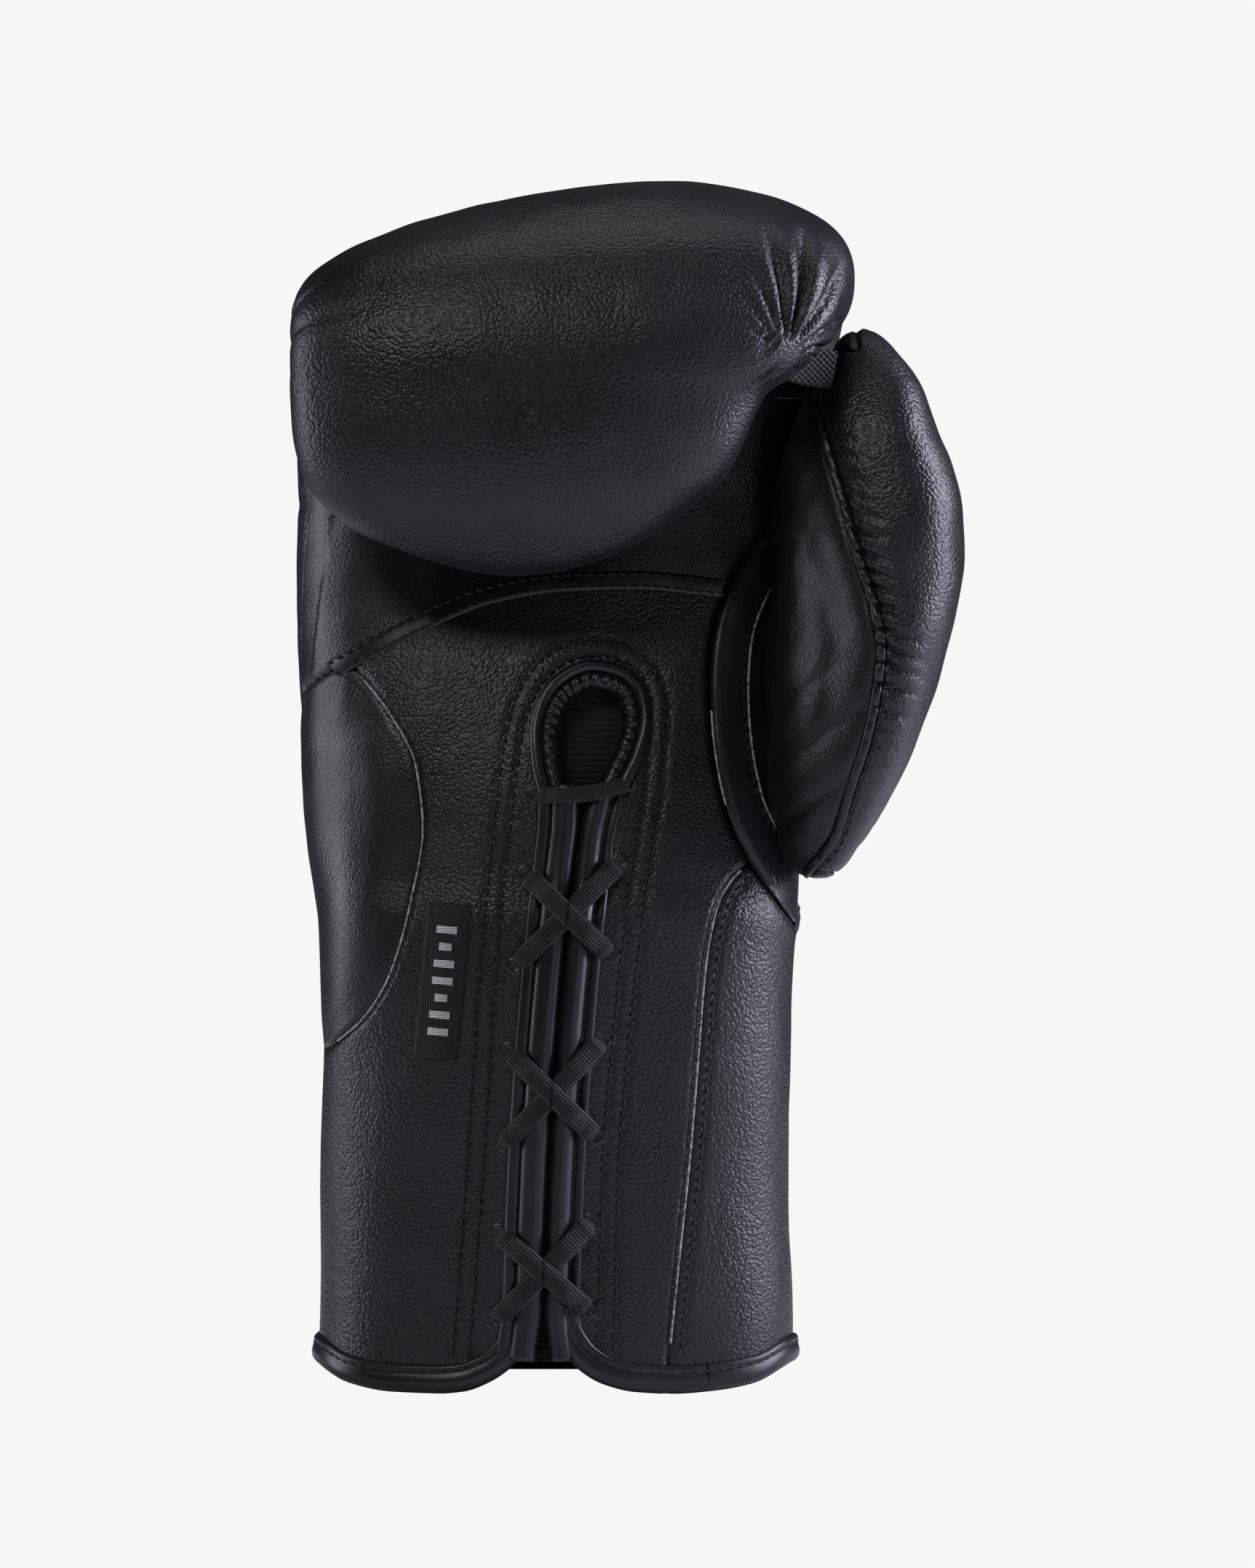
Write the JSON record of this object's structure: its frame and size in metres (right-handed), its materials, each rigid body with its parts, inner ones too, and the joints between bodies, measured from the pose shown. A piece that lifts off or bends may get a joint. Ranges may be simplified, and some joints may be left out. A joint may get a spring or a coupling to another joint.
{
  "type": "boxing glove",
  "caption": "Lace-up boxing glove for the right hand: padded fist, tied thumb, laced palm opening with two flaps and a tongue, and a tall padded cuff.",
  "frame": {"origin": "middle of the glove's footprint box, on the ground under the hem", "axes": "+Z from the hem to the knuckles, +X to the thumb side, -Y is the palm side, +Y the back of the hand"},
  "size_m": [0.1835, 0.1308, 0.3309],
  "materials": {
    "grain_leather": "satin",
    "smooth_leather": "satin",
    "binding_leather": "satin",
    "foam": "matte",
    "lining_cloth": "matte",
    "lace_weave": "matte",
    "webbing": "matte",
    "label_weave": "satin",
    "tongue_rib": "matte",
    "grip_core": "matte"
  },
  "bodies": {
    "hand": {"back_cuff_foam": "foam", "back_cuff_panel": "grain_leather", "finger_foam": "foam", "finger_lobe_leather": "grain_leather", "finger_pocket_lining": "lining_cloth", "fist_leather": "grain_leather", "grip_bar": "grip_core", "grip_panel": "smooth_leather", "hand_lining": "lining_cloth", "hem_binding": "binding_leather", "impact_foam": "foam", "knuckle_foam": "foam", "knuckle_lining": "lining_cloth", "knuckle_pad": "foam", "lace": "lace_weave", "palm_foam": "foam", "palm_panel": "grain_leather", "palm_seam_strip": "grain_leather", "pinky_side_panel": "smooth_leather", "side_label": "label_weave", "throat_collar": "smooth_leather", "throat_piping": "binding_leather", "thumb_gusset_band": "grain_leather", "thumb_side_cuff_panel": "grain_leather", "thumb_strap": "webbing", "thumb_web_panel": "grain_leather", "upper_palm_panel": "smooth_leather", "wrist_band": "grain_leather"},
    "pinky_flap": {"pinky_flap_edge_roll": "binding_leather", "pinky_flap_foam": "foam", "pinky_flap_hem": "binding_leather", "pinky_flap_leather": "grain_leather", "pinky_flap_lining": "lining_cloth"},
    "thumb_flap": {"thumb_flap_edge_roll": "binding_leather", "thumb_flap_foam": "foam", "thumb_flap_hem": "binding_leather", "thumb_flap_leather": "grain_leather", "thumb_flap_lining": "lining_cloth"},
    "tongue": {"tongue_face": "tongue_rib", "tongue_foam": "foam"},
    "thumb": {"thumb_leather": "grain_leather", "thumb_piping": "binding_leather", "thumb_inner_panel": "smooth_leather", "thumb_foam": "foam", "thumb_lining": "lining_cloth"}
  },
  "joints": [
    {"name": "pinky_flap_open", "type": "hinge", "parent": "hand", "child": "pinky_flap", "pos_m": [-0.0525, -0.0386, 0], "axis": [-0.2481, -0.0168, -0.9686], "range_deg": [0, 10], "deforming": ["lace"]},
    {"name": "thumb_flap_open", "type": "hinge", "parent": "hand", "child": "thumb_flap", "pos_m": [0.0095, -0.0386, 0], "axis": [-0.1553, 0.0171, 0.9877], "range_deg": [0, 10], "deforming": ["lace"]},
    {"name": "thumb_swing", "type": "hinge", "parent": "hand", "child": "thumb", "pos_m": [0.048, -0.006, 0.207], "axis": [0.0348, 0, 0.9994], "range_deg": [-4, 5], "stiffness_Nm_per_rad": 0.6, "deforming": ["thumb_strap"]},
    {"name": "tongue_swing", "type": "hinge", "parent": "hand", "child": "tongue", "pos_m": [-0.016, -0.0112, 0.186], "axis": [1, 0, 0], "range_deg": [0, 6]}
  ],
  "couplings": [
    {"joint": "thumb_flap_open", "follows": "pinky_flap_open", "ratio": 1}
  ]
}
